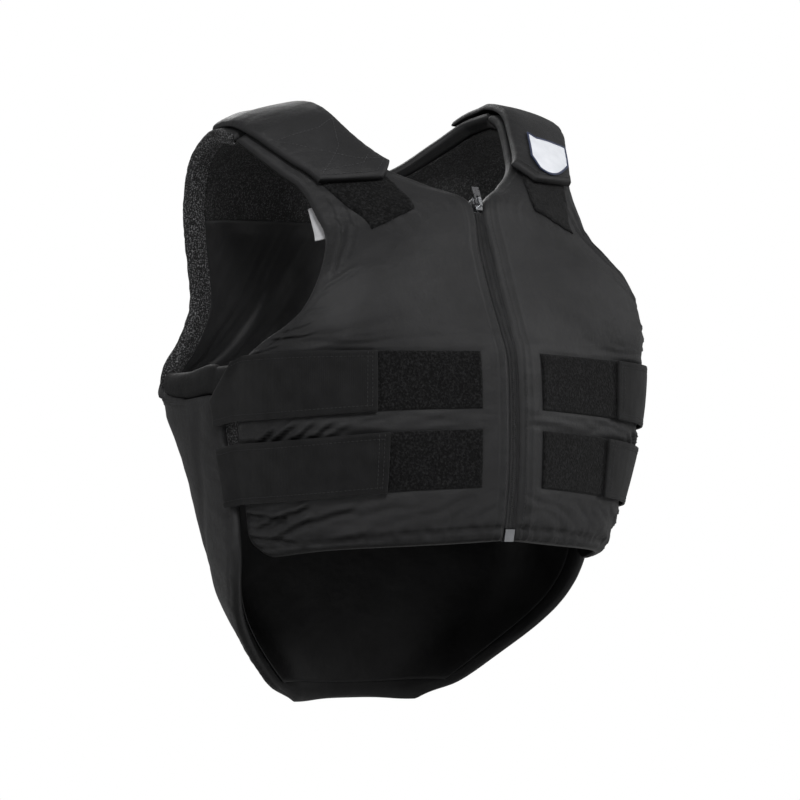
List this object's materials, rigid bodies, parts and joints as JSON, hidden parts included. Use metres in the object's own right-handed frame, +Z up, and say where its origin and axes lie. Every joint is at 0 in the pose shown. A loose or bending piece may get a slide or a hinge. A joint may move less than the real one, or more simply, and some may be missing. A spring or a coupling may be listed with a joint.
{
  "type": "equestrian body protector",
  "caption": "Black padded riding vest with a front zip, wide hook-and-loop side straps, shoulder flaps and a long rounded tail.",
  "frame": {"origin": "where the vest sits on the wearer's shoulders: midway between them, level with the top of the seat", "axes": "+Z up along the wearer, -Y the way the wearer faces, +X the wearer's left"},
  "size_m": [0.4296, 0.2977, 0.5663],
  "materials": {
    "nylon": "satin",
    "lining": "satin",
    "loop_tape": "matte",
    "webbing": "matte",
    "mesh_cloth": "matte",
    "zip": "satin",
    "badge": "satin",
    "label": "satin",
    "silver_metal": "satin",
    "dark_metal": "satin"
  },
  "bodies": {
    "vest": {"armhole_trim_left": "mesh_cloth", "armhole_trim_right": "mesh_cloth", "back_lining": "lining", "back_panel": "nylon", "back_yoke": "mesh_cloth", "badge_patch": "badge", "care_tag": "label", "front_loop_lower_left": "loop_tape", "front_loop_lower_right": "loop_tape", "front_loop_upper_left": "loop_tape", "front_loop_upper_right": "loop_tape", "front_panel_left": "nylon", "front_panel_right": "nylon", "shoulder_flap_left": "nylon", "shoulder_flap_right": "nylon", "shoulder_loop_left": "loop_tape", "shoulder_loop_right": "loop_tape", "side_gusset_left": "mesh_cloth", "side_gusset_right": "mesh_cloth", "side_strap_lower_left": "webbing", "side_strap_lower_right": "webbing", "side_strap_upper_left": "webbing", "side_strap_upper_right": "webbing", "underarm_rim_left": "lining", "underarm_rim_right": "lining", "zip_coil": "zip", "zip_slider": "dark_metal", "zip_stop": "silver_metal", "zip_tape_left": "zip", "zip_tape_right": "zip"},
    "pull": {"zip_pull": "dark_metal"}
  },
  "joints": [
    {"name": "pull_hinge", "type": "hinge", "parent": "vest", "child": "pull", "pos_m": [0, -0.12701, -0.08779], "axis": [1, 0, 0], "range_deg": [0, 170]}
  ]
}
